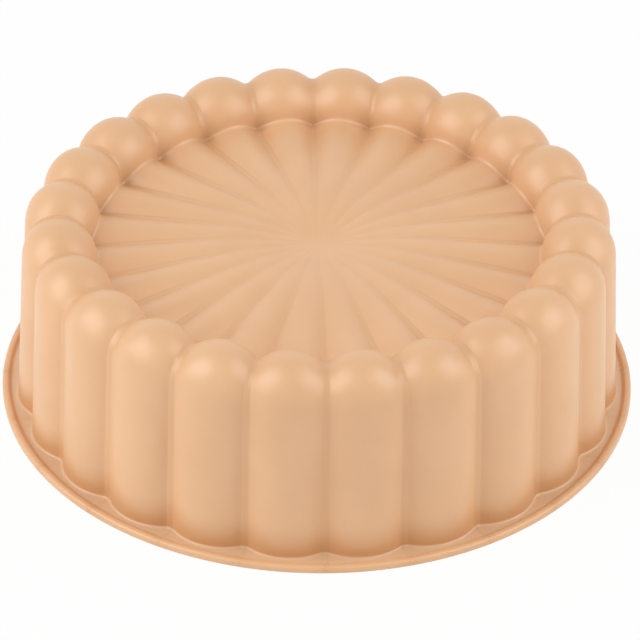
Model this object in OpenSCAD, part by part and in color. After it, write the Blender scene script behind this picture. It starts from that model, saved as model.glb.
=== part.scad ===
// Silicone cake mould, stood upside down on its rim: a ring of round flutes with ball tops
// about a pleated plate, moulded in one piece with an even wall and a beaded flange.
// Millimetres, +Z up, origin at the centre of the rim's flat lower face.

/* [Overall] */
// Outer diameter of the rim
rim_d = 231; // [190:1:280]
// Height from the rim's lower face to the tops of the balls
height = 74.6; // [55:1:100]
// Thickness of the moulded wall
wall = 1.8; // [1:0.1:3]
// Number of flutes, and of pleats on the plate
flutes = 24; // [16:1:32]

/* [Balls] */
// Radius of a ball, seen from its side
ball_r = 13.3; // [11:0.1:17]
// Radius of a ball's arc across the flute, in half widths of the flute
ball_cross = 1.88; // [1.3:0.02:4]
// Drop of the crease between two balls, besides that of their arcs
ball_dip = 1.7; // [0:0.1:4]
// Distance that this crease also lies inward
ball_set_in = 0.9; // [0:0.1:3]

/* [Flutes] */
// Radius of a flute's arc at its foot, in half widths of the flute
foot_cross = 1.49; // [1.2:0.01:4]
// Distance that the flutes lean out from ball to foot
draft = 3.6; // [0:0.1:6]
// Fillet in the creases between the balls and between the flutes
crease_fillet = 3.4; // [0.5:0.1:6]
// Fillet where the flutes meet the flange
foot_fillet = 0.8; // [0.3:0.1:2]

/* [Plate] */
// Depth of the plate's middle below the ball tops
plate_drop = 16.3; // [10:0.1:24]
// Height of the plate's swell above its middle
swell = 2.2; // [0:0.1:5]
// Radius of the swell's crown, as a share of the plate's
swell_share = 0.37; // [0.2:0.01:0.6]
// Fall of the creases from the crown to the plate's edge
plate_fall = 3.7; // [0:0.1:6]
// How the fall gathers towards the edge, 1 for an even slope
fall_power = 1.4; // [1:0.1:3]
// Radius of the pleats, in half widths of a pleat at the plate's edge
pleat_cross = 1.21; // [1.1:0.01:4]
// Fillet in the creases between the pleats
pleat_fillet = 2; // [0.5:0.1:5]

/* [Rim] */
// Thickness of the flange
flange_t = 1.5; // [1:0.1:3]
// Width of the flange from the flutes to its bead
flange_w = 2.3; // [2:0.1:12]
// Height of the bead above the flange
bead_rise = 1.1; // [0.4:0.1:4]
// Width of the bead's flat top
bead_top = 1.3; // [0.5:0.1:4]
// Width of the bead's bevelled outer edge
bead_bevel = 0.9; // [0.2:0.1:2]
// Width of the bead's sloping inner side
bead_slope = 1.1; // [0.2:0.1:3]

/* [Hidden] */
skin = [0.925, 0.745, 0.600];

half_pitch = 180 / flutes;
rim_r = rim_d / 2;
bead_r = rim_r - bead_bevel - bead_top;
bead_h = flange_t + bead_rise;
foot_r = bead_r - bead_slope - flange_w;
ring_r = foot_r - draft - ball_r;
ball_z = height - ball_r;
middle_z = height - plate_drop;
// Places of the sections across a flute, as shares of half a pitch from its crest
across = [-1, -0.91, -0.7, -0.36, 0, 0.36, 0.7, 0.91];
// Sine that a ball's arc ends at when the plate lies clear of it
limit = 0.95;
// Points of a ball's section, as shares of its arc from the wall to the plate
turns_out = [0, 0.11, 0.23, 0.35, 0.47, 0.6, 0.74, 0.87, 1];
turns_in = [1, 0.8, 0.55, 0.28, 0];
// Places along a pleat, as shares of the way from the middle to the edge
along = [0.78, 0.56, 0.36, 0.2, 0.07];

// Depth of a crease's side below the crest, t across from it, between arcs of radius r
// that meet in a fillet of radius q at the distance w
function side(t, w, r, q) =
    t < w * r / (r + q)
        ? r - sqrt(r * r - t * t)
        : r - sqrt(pow(r + q, 2) - w * w) + sqrt(max(0, q * q - pow(w - t, 2)));

// The same at the share s of half a pitch, at the radius at and with an arc of cross half
// widths, on the face that lies in by inset
function scallop(s, at, cross, inset) =
    let (half = at * sin(half_pitch))
    side(abs(at * sin(s * half_pitch)), half, cross * half - inset, crease_fillet + inset);

// How far the share s is down into the crease between two balls, from 0 to 1
function sunk(s) = scallop(s, ring_r, ball_cross, 0) / scallop(1, ring_r, ball_cross, 0);

// Radius and centre of a ball's section at the share s
function ball_radius(s, inset) = ball_r - inset - scallop(s, ring_r, ball_cross, inset);
function ball_centre(s) = [ring_r - ball_set_in * sunk(s), ball_z - ball_dip * sunk(s)];

// Radius of the plate, at the creases where it meets the balls, and of its swell's crown
plate_r = ball_centre(1)[0] - ball_radius(1, 0);
swell_r = swell_share * plate_r;

// Height of the creases at the radius r on the plate's upper face
function crease_z(r) =
    r < swell_r
        ? middle_z + swell * (1 - cos(180 * r / swell_r)) / 2
        : middle_z + swell - plate_fall * pow((r - swell_r) / (plate_r - swell_r), fall_power);

// Rise of a pleat above its creases at the radius r: the pleats are half round rods of one
// radius that run together towards the middle, so they flatten out there
function pleat(s, r) =
    let (
        rod = pleat_cross * plate_r * sin(half_pitch),
        half = r * sin(half_pitch),
        t = abs(r * sin(s * half_pitch))
    )
    side(half, half, rod, pleat_fillet) - side(t, half, rod, pleat_fillet);

function plate_z(s, f, inset) = crease_z(f * plate_r) + pleat(s, f * plate_r) - inset;

// Point of a ball's section at the share turn of its arc, as radius and height
function ball(s, turn, inset) =
    let (
        r = ball_radius(s, inset),
        c = ball_centre(s),
        end = 180 - asin(max(-limit, min(limit, (plate_z(s, 1, inset) - c[1]) / r)))
    )
    [(c[0] + r * cos(turn * end)) / cos(s * half_pitch), c[1] + r * sin(turn * end)];

function plate(s, f, inset) = [ball(s, 1, inset)[0] * f, plate_z(s, f, inset)];

// Radius of a flute's foot
function foot(s, inset) =
    (foot_r - inset - scallop(s, foot_r, foot_cross, inset)) / cos(s * half_pitch);

// Section at the share s, up the outside from the rim to the middle
function outside(s) = concat(
    [
        [rim_r, 0],
        [rim_r, bead_h - bead_bevel],
        [rim_r - bead_bevel, bead_h],
        [bead_r, bead_h],
        [bead_r - bead_slope, flange_t],
        [foot(s, 0) + foot_fillet, flange_t],
        [foot(s, 0), flange_t + foot_fillet]
    ],
    [for (turn = turns_out) ball(s, turn, 0)],
    [for (f = along) plate(s, f, 0)]
);

// Section at the share s, back down the inside
function inside(s) = concat(
    [for (i = [len(along) - 1 : -2 : 0]) plate(s, along[i], wall)],
    [for (turn = turns_in) ball(s, turn, wall)],
    [[foot(s, wall), 0]]
);

// The sections stand round the axis and are joined by triangles; a point on the axis closes
// the plate's upper face and one its lower face
module mould() {
    sections = [for (s = across) concat(outside(s), inside(s))];
    places = len(across);
    columns = flutes * places;
    rings = len(sections[0]);
    last_out = len(outside(0)) - 1;
    points = concat(
        [
            for (c = [0 : columns - 1])
            let (turn = half_pitch * (2 * floor(c / places) + 1 + across[c % places]) - 90)
            for (p = sections[c % places]) [p[0] * cos(turn), p[0] * sin(turn), p[1]]
        ],
        [[0, 0, middle_z], [0, 0, middle_z - wall]]
    );
    faces = [
        for (c = [0 : columns - 1], i = [0 : rings - 1])
        let (
            here = c * rings,
            next = (c + 1) % columns * rings,
            j = (i + 1) % rings
        )
        each i == last_out
            ? [[here + i, len(points) - 2, next + i], [here + j, next + j, len(points) - 1]]
            : [[here + i, here + j, next + j], [here + i, next + j, next + i]]
    ];
    color(skin) polyhedron(points, faces, convexity = 10);
}

mould();
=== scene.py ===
from math import asin, cos, pi, sin, sqrt

import bmesh
import bpy
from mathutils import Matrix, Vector


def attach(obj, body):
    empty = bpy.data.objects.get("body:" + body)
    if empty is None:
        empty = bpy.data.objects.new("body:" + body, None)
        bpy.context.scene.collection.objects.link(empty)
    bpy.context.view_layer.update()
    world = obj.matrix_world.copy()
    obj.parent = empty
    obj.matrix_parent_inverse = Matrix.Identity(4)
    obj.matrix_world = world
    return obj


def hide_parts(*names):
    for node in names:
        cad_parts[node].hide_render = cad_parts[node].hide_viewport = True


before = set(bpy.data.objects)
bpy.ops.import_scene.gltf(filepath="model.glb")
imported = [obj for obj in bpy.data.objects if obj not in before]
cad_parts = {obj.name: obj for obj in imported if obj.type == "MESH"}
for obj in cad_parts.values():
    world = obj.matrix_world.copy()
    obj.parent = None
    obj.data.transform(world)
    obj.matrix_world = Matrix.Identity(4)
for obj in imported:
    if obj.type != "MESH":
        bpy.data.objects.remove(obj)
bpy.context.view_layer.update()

mm = 0.001
flutes = 24
half_pitch = pi / flutes
rim_r = 115.5 * mm
height = 74.6 * mm
wall = 1.8 * mm

# The flange, its bead and the feet of the flutes. Their edges are rounded within the lengths
# called corner and bend, and an ease is how far a point lies off the sharp edge.
flange_t = 1.5 * mm
bead_h = 2.6 * mm
bead_top = 1.3 * mm
bead_bevel = 0.9 * mm
bead_slope = 1.1 * mm
corner = 0.35 * mm
inner_corner = 0.4 * mm
bend = 0.3 * mm
bend_drop = 0.25 * mm
ease = 0.1 * mm
foot_r = 109.9 * mm
foot_fillet = 0.8 * mm

# Balls and flutes: a cross is the radius of an arc across, in half widths of the flute
ring_r = 93.0 * mm
ball_r = 13.3 * mm
ball_cross = 1.88
ball_dip = 1.7 * mm
ball_set_in = 0.9 * mm
foot_cross = 1.49
crease_fillet = 3.4 * mm

# The plate, its pleats, and the fine ridges and beads on its upper face
middle_z = height - 16.3 * mm
swell = 2.2 * mm
swell_share = 0.37
plate_fall = 3.7 * mm
fall_power = 1.4
pleat_cross = 1.21
pleat_fillet = 2 * mm
edge_fillet = 0.7 * mm
edge_bead = 0.42 * mm
ridge = 0.2 * mm
ridge_w = 0.8 * mm
ridge_start = 15 * mm
ridge_run = 30 * mm

# Places of the points along the plate and over a ball, outside and inside, and of the
# sections from a crest to a crease, all as shares of the way
along_plate = (0.012, 0.04, 0.09, 0.16, 0.25, 0.37, 0.51, 0.66, 0.81, 0.93)
over_ball = (0.92, 0.83, 0.73, 0.62, 0.51, 0.4, 0.29, 0.18, 0.08, 0)
under_ball = (0, 0.15, 0.35, 0.57, 0.78, 1)
under_plate = (0.85, 0.6, 0.35, 0.15, 0.05, 0.012)
to_crease = (0.15, 0.3, 0.44, 0.57, 0.69, 0.79, 0.87, 0.935, 1)


def side(t, w, r, q):
    """Depth of a crease's side below the crest, t across from it, between arcs of radius r that
    meet in a fillet q at the distance w."""
    if t < w * r / (r + q):
        return r - sqrt(r * r - t * t)
    return r - sqrt((r + q) ** 2 - w * w) + sqrt(q * q - (w - t) ** 2)


def scallop(s, at, cross, inset):
    """The same at the share s of half a flute, on the face that lies in by inset."""
    half = at * sin(half_pitch)
    return side(at * sin(s * half_pitch), half, cross * half - inset, crease_fillet + inset)


def sunk(s):
    """How far the share s is down into the crease between two balls, from 0 to 1."""
    return scallop(s, ring_r, ball_cross, 0) / scallop(1, ring_r, ball_cross, 0)


def ball_radius(s, inset):
    return ball_r - inset - scallop(s, ring_r, ball_cross, inset)


plate_r = ring_r - ball_set_in - ball_radius(1, 0)
swell_r = swell_share * plate_r


def plate_z(s, f, inset):
    """Height of the plate at the share f of its radius: the swell, the fall and a pleat."""
    r = f * plate_r
    if r < swell_r:
        crease = middle_z + swell * (1 - cos(pi * r / swell_r)) / 2
    else:
        past_swell = (r - swell_r) / (plate_r - swell_r)
        crease = middle_z + swell - plate_fall * past_swell**fall_power
    rod, half = pleat_cross * plate_r * sin(half_pitch), r * sin(half_pitch)
    crest = side(half, half, rod, pleat_fillet)
    pleat = crest - side(r * sin(s * half_pitch), half, rod, pleat_fillet)
    return crease + pleat - inset


def ball_point(s, share, inset):
    """A point of the ball, at a share of its arc from the wall to the plate."""
    r = ball_radius(s, inset)
    x, z = ring_r - ball_set_in * sunk(s), height - ball_r - ball_dip * sunk(s)
    end = pi - asin((plate_z(s, 1, inset) - z) / r)
    return x + r * cos(share * end), z + r * sin(share * end)


def plate_point(s, f, inset):
    """A point of the plate. On the upper face a fine ridge runs along the bottom of each crease,
    and fades out towards the middle."""
    x, z = ball_point(s, 1, inset)[0] * f, plate_z(s, f, inset)
    if inset == 0:
        aside = (1 - s) * x * sin(half_pitch)
        fade = min(1, max(0, (x - ridge_start) / ridge_run))
        z += ridge * max(0, 1 - aside / ridge_w) * fade
    return x, z


def foot_point(s, z, inset):
    """A point of the wall between the flange and the ball."""
    foot = foot_r - inset - scallop(s, foot_r, foot_cross, inset)
    x, top = ball_point(s, 0, inset)
    return foot + (x - foot) * (z - flange_t) / (top - flange_t), z


def section(s):
    """The wall's section at the share s of half a flute, from the plate's middle over the
    outside, along the flange's lower face and back up the inside."""
    # The plate and the ball stop short of where they meet, and a bead fills the gap.
    plate_end = 1 - edge_fillet / plate_r
    ball_end = 1 - edge_fillet / (pi * ball_radius(s, 0))
    edge_x, edge_z = ball_point(s, 1, 0)
    outside = [plate_point(s, f, 0) for f in along_plate + (plate_end,)]
    outside += [(edge_x - edge_bead, edge_z + edge_bead)]
    outside += [ball_point(s, t, 0) for t in (ball_end,) + over_ball]

    ball_z = ball_point(s, 0, 0)[1]
    down_flute = (ball_z - 3 * mm, ball_z / 2, 6 * mm, 3 * mm, flange_t + foot_fillet)
    foot, cut = foot_point(s, flange_t, 0)[0], foot_fillet / 4
    outside += [foot_point(s, z, 0) for z in down_flute]
    outside += [(foot + cut, flange_t + cut), (foot + foot_fillet, flange_t)]

    bead_r = rim_r - bead_bevel - bead_top
    flange = [
        (bead_r - bead_slope - bend, flange_t),
        (bead_r - bead_slope, flange_t + ease / 2),
        (bead_r - bend, bead_h - bend_drop),
        (bead_r + ease, bead_h),
        (rim_r - bead_bevel - ease, bead_h),
        (rim_r - corner, bead_h - bend_drop),
        (rim_r, bead_h - bead_bevel),
        (rim_r, corner),
        (rim_r - ease, ease),
        (rim_r - corner, 0),
    ]
    inside = [(foot_point(s, flange_t, wall)[0] + inner_corner, 0)]
    inside += [foot_point(s, z, wall) for z in (inner_corner, 30 * mm)]
    inside += [ball_point(s, t, wall) for t in under_ball]
    inside += [plate_point(s, f, wall) for f in under_plate]

    # The flange is drawn by its radius, and the rest by its distance along the crest's line.
    a = s * half_pitch
    to_radius = 1 / cos(a)
    points = [(x * to_radius, z) for x, z in outside]
    points += flange
    points += [(x * to_radius, z) for x, z in inside]
    return [Vector((x * cos(a), x * sin(a), z)) for x, z in points]


bpy.ops.object.select_all(action="DESELECT")
line = section(0)
bpy.ops.mesh.primitive_plane_add(size=mm, location=line[0])
mould = bpy.context.object
mould.name = mould.data.name = "mould_soft_shell"
bpy.ops.object.transform_apply(location=True)
bpy.ops.object.mode_set(mode="EDIT")
bpy.ops.mesh.merge(type="CENTER")
for here, there in zip(line, line[1:]):
    bpy.ops.mesh.extrude_region_move(TRANSFORM_OT_translate={"value": there - here})
bpy.ops.mesh.select_all(action="SELECT")
shape = bmesh.from_edit_mesh(mould.data)
for s in to_crease:
    bpy.ops.mesh.extrude_region_move()
    new = [v for v in shape.verts if v.select]
    order = {min(range(len(line)), key=lambda i: (line[i] - v.co).length): v for v in new}
    line = section(s)
    for i, v in order.items():
        v.co = line[i]
bmesh.update_edit_mesh(mould.data)

# Half a flute is mirrored to a whole one, and that is copied round the axis.
join = 0.002 * mm
bpy.ops.object.mode_set(mode="OBJECT")
mirror = mould.modifiers.new("other_half", "MIRROR")
mirror.use_axis = (False, True, False)
mirror.merge_threshold = join
bpy.ops.object.modifier_apply(modifier=mirror.name)
bpy.ops.object.mode_set(mode="EDIT")
bpy.ops.mesh.select_all(action="SELECT")
bpy.ops.transform.rotate(value=half_pitch, orient_axis="Z", center_override=(0, 0, 0))
copies = flutes - 1
turn = 2 * half_pitch * copies
bpy.ops.mesh.spin(steps=copies, angle=turn, dupli=True, center=(0, 0, 0), axis=(0, 0, 1))
bpy.ops.mesh.select_all(action="SELECT")
bpy.ops.mesh.remove_doubles(threshold=join)
bpy.ops.mesh.normals_make_consistent(inside=False)
bpy.ops.object.mode_set(mode="OBJECT")
smooth = mould.modifiers.new("soft_curves", "SUBSURF")
smooth.levels = smooth.render_levels = 1
bpy.ops.object.modifier_apply(modifier=smooth.name)
bpy.ops.object.shade_smooth()

# The two small holes left at the axis are drawn together into a point.
bpy.ops.object.mode_set(mode="EDIT")
for upper in (True, False):
    bpy.ops.mesh.select_all(action="DESELECT")
    shape = bmesh.from_edit_mesh(mould.data)
    for edge in shape.edges:
        if edge.is_boundary and (edge.verts[0].co.z > middle_z - wall / 2) == upper:
            edge.select = True
    bmesh.update_edit_mesh(mould.data)
    bpy.ops.mesh.extrude_region_move()
    bpy.ops.mesh.merge(type="CENTER")
bpy.ops.mesh.select_all(action="SELECT")
bpy.ops.mesh.normals_make_consistent(inside=False)
bpy.ops.object.mode_set(mode="OBJECT")


class Socket:
    """A node's output that can be added, multiplied and taken from a number."""

    def __init__(self, tree, socket):
        self.tree, self.socket = tree, socket

    def node(self, kind, settings={}, values={}, out=0):
        """Adds a node with its settings, then its inputs' values or links."""
        n = self.tree.nodes.new(kind)
        for name, value in settings.items():
            setattr(n, name, value)
        for name, value in values.items():
            if isinstance(value, Socket):
                self.tree.links.new(value.socket, n.inputs[name])
            else:
                n.inputs[name].default_value = value
        return Socket(self.tree, n.outputs[out])

    def maths(self, operation, a, b):
        return self.node("ShaderNodeMath", {"operation": operation}, {0: a, 1: b})

    def __add__(self, other):
        return self.maths("ADD", self, other)

    def __mul__(self, other):
        return self.maths("MULTIPLY", self, other)

    def __rsub__(self, other):
        return self.maths("SUBTRACT", other, self)

    __radd__, __rmul__ = __add__, __mul__


silicone = bpy.data.materials.new("silicone_apricot")
silicone.use_nodes = True
tree = silicone.node_tree
shader = tree.nodes["Principled BSDF"]
place = Socket(tree, tree.nodes.new("ShaderNodeTexCoord").outputs["Object"])
x, y, z = (place.node("ShaderNodeSeparateXYZ", {}, {0: place}, axis) for axis in range(3))
radius = x.maths("POWER", x * x + y * y, 0.5)
turned = x.maths("ARCTAN2", y, x) * (flutes / 2 / pi)


def ramp(value, start, end):
    """0 up to the start, 1 from the end, and a soft step between them."""
    limits = {"Value": value, "From Min": start, "From Max": end}
    return value.node("ShaderNodeMapRange", {"interpolation_type": "SMOOTHSTEP"}, limits)


def mottle(size, detail):
    """Soft noise about 0.5, in patches of the given size."""
    values = {"Vector": place, "Scale": 1 / size, "Detail": detail}
    return place.node("ShaderNodeTexNoise", {}, values)


def tint(share, under, over):
    """The colour over laid on the colour under by the given share."""
    colours = {0: share, 6: under, 7: over}
    return place.node("ShaderNodeMix", {"data_type": "RGBA"}, colours, 2)


# The pigment is a little uneven. Shade is painted into the colour: it is darker in the creases
# and down at the feet of the flutes and the balls. The flange is painted paler in place of the
# white light that bounces onto it, and the scallops where the balls meet the plate are painted
# paler as a highlight. Fine raised lines run along the bottom of each crease and round the
# scallops. The tones are in the linear colours that the shader takes.
apricot_deep, apricot_light = (0.775, 0.452, 0.236, 1), (0.805, 0.478, 0.256, 1)
# Painted shade tones for the creases, the feet of the flutes and the feet of the balls, a painted
# light tone for the flange, and a painted highlight tone for the scallops
crease_shade_tone = (0.68, 0.36, 0.165, 1)
foot_shade_tone = (0.64, 0.33, 0.145, 1)
ball_foot_shade_tone = (0.61, 0.38, 0.21, 1)
flange_bounce_light_tone = (0.75, 0.5, 0.3, 1)
scallop_highlight_tone = (0.93, 0.63, 0.41, 1)

# Where they go: aside is 0 in a crease and 1 on a crest, and each mask is 1 on its own part.
# The scallops swing between one radius and height at the crests and another at the creases.
crest_r, crest_z = 79.8 * mm, 61.3 * mm
crease_r, crease_z = 83.0 * mm, 56.6 * mm
aside = x.maths("PINGPONG", turned, 0.5) * 2
crease = x.maths("POWER", 1 - aside, 5) * ramp(radius, 6 * mm, 50 * mm)
crease_line = 1 - ramp(aside * radius, 0.6 * mm / half_pitch, 1.1 * mm / half_pitch)
crease_line = crease_line * ramp(radius, ridge_start, ridge_start + ridge_run)
swing = (1 - aside) * (1 - aside)
across = x.maths("ABSOLUTE", radius + swing * (crest_r - crease_r) + -crest_r, 0)
along = x.maths("ABSOLUTE", z + swing * (crest_z - crease_z) + -crest_z, 0)
scallops = (1 - ramp(across, 0.2 * mm, 0.75 * mm)) * (1 - ramp(along, 0.2 * mm, 0.8 * mm))
off_bead = 1 - ramp(radius, 111.2 * mm, 113 * mm)
above_flange = ramp(z, 1.6 * mm, 2.2 * mm)
foot = (1 - ramp(z, 2 * mm, 15 * mm)) * above_flange * off_bead
ball_side = ramp(radius, 78 * mm, 82 * mm) * (1 - ramp(radius, 86 * mm, 92 * mm))
ball_foot_shade = (1 - ramp(z, 58 * mm, 67 * mm)) * ball_side

colour = tint(ramp(mottle(24 * mm, 3), 0.3, 0.7), apricot_deep, apricot_light)
# Painted shade: the creases are darkened
colour = tint(crease * 0.42, colour, crease_shade_tone)
# Painted shade: the flutes darken down to their feet, where the flange shades them
colour = tint(foot * 0.9, colour, foot_shade_tone)
# Painted shade: the lower inner sides of the balls are darkened
colour = tint(ball_foot_shade * 0.6, colour, ball_foot_shade_tone)
# Painted light: the flange is paler and less orange, in place of white bounce light
colour = tint((1 - above_flange) * off_bead, colour, flange_bounce_light_tone)
# Painted highlight: a pale line round each scallop where the balls meet the plate
colour = tint(scallops * 0.32, colour, scallop_highlight_tone)
tree.links.new(colour.socket, shader.inputs["Base Color"])
tree.links.new((mottle(9 * mm, 4) * 0.08 + 0.34).socket, shader.inputs["Roughness"])
relief = mottle(0.6 * mm, 2) * 0.01 + crease_line + scallops * 0.6
bump = {"Height": relief, "Strength": 1, "Distance": 0.12 * mm}
tree.links.new(place.node("ShaderNodeBump", {}, bump).socket, shader.inputs["Normal"])
shader.inputs["Specular IOR Level"].default_value = 0.75
mould.data.materials.append(silicone)
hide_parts("mould")
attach(mould, "root")

# The floor: a wide white sweep that the mould stands on. What is seen of it is mostly its own
# white, and the rest shows the mould's shadow.
own_white = 0.95


def seen(tree):
    """1 for a ray from the camera, a gloss or a glass, and 0 for the light that a thing gives."""
    path = tree.nodes.new("ShaderNodeLightPath")
    rays = ("Is Camera Ray", "Is Glossy Ray", "Is Transmission Ray")
    camera, gloss, glass = (Socket(tree, path.outputs[ray]) for ray in rays)
    return camera.maths("MAXIMUM", camera.maths("MAXIMUM", camera, gloss), glass)


bpy.ops.mesh.primitive_plane_add(size=8, location=(0, 0, 0))
floor = bpy.context.object
floor.name = floor.data.name = "white_sweep"
paper = bpy.data.materials.new("white_paper")
paper.use_nodes = True
tree = paper.node_tree
matt = tree.nodes["Principled BSDF"]
matt.inputs["Base Color"].default_value = (0.9, 0.9, 0.9, 1)
matt.inputs["Roughness"].default_value = 0.9
sheet = Socket(tree, matt.outputs[0])
glow = sheet.node("ShaderNodeEmission", {}, {"Strength": 1})
shown = sheet.node("ShaderNodeMixShader", {}, {0: seen(tree) * own_white, 1: sheet, 2: glow})
tree.links.new(shown.socket, tree.nodes["Material Output"].inputs["Surface"])
floor.data.materials.append(paper)

# The studio: two soft boxes above the front left and the front right give the highlights.
# White panels round the mould and the white room fill in between them without gloss. Each
# row is a name, a place, a width and height, a radiance, and whether it shows in gloss.
aim = Vector((0, 0, 0.05))
room_light = 0.27
for name, spot, size, radiance, glossy in (
    ("left_softbox", (-0.80, -0.25, 0.74), (0.95, 0.95), 2.5, True),
    ("right_softbox", (0.80, -0.25, 0.74), (0.95, 0.95), 2.0, True),
    ("left_panel", (-1.3, 0, 0.25), (1.4, 0.5), 1.1, False),
    ("right_panel", (1.3, 0, 0.25), (1.4, 0.5), 1.0, False),
    ("back_panel", (0, 1.2, 0.5), (1.2, 0.8), 1.2, False),
    ("front_panel", (0, -1.4, 0.15), (1.6, 0.5), 1.0, False),
):
    lamp = bpy.data.lights.new(name, "AREA")
    lamp.shape = "RECTANGLE"
    lamp.size, lamp.size_y = size
    lamp.energy = radiance * pi * lamp.size * lamp.size_y
    box = bpy.data.objects.new(name, lamp)
    bpy.context.collection.objects.link(box)
    box.location = spot
    box.rotation_euler = (Vector(spot) - aim).to_track_quat("Z", "Y").to_euler()
    box.visible_glossy = glossy
world = bpy.data.worlds.new("white_room")
bpy.context.scene.world = world
world.use_nodes = True
tree = world.node_tree
room = tree.nodes["Background"]
room.inputs["Color"].default_value = (1, 1, 1, 1)
strength = seen(tree) * (1 - room_light) + room_light
tree.links.new(strength.socket, room.inputs["Strength"])

# The camera: a long lens from the front, looking down on the plate. Its place, turn and lens
# come from the fit of the ball tops, the creases and the rim to the photograph.
view = bpy.data.cameras.new("camera")
camera = bpy.data.objects.new("camera", view)
bpy.context.collection.objects.link(camera)
camera.location = (-0.03227, -0.97101, 0.70383)
camera.rotation_euler = [a * pi / 180 for a in (55.0353, -0.6820, -1.4775)]
view.lens = 182.9
view.sensor_width = 36
bpy.context.scene.camera = camera
bpy.context.scene.view_settings.view_transform = "Standard"
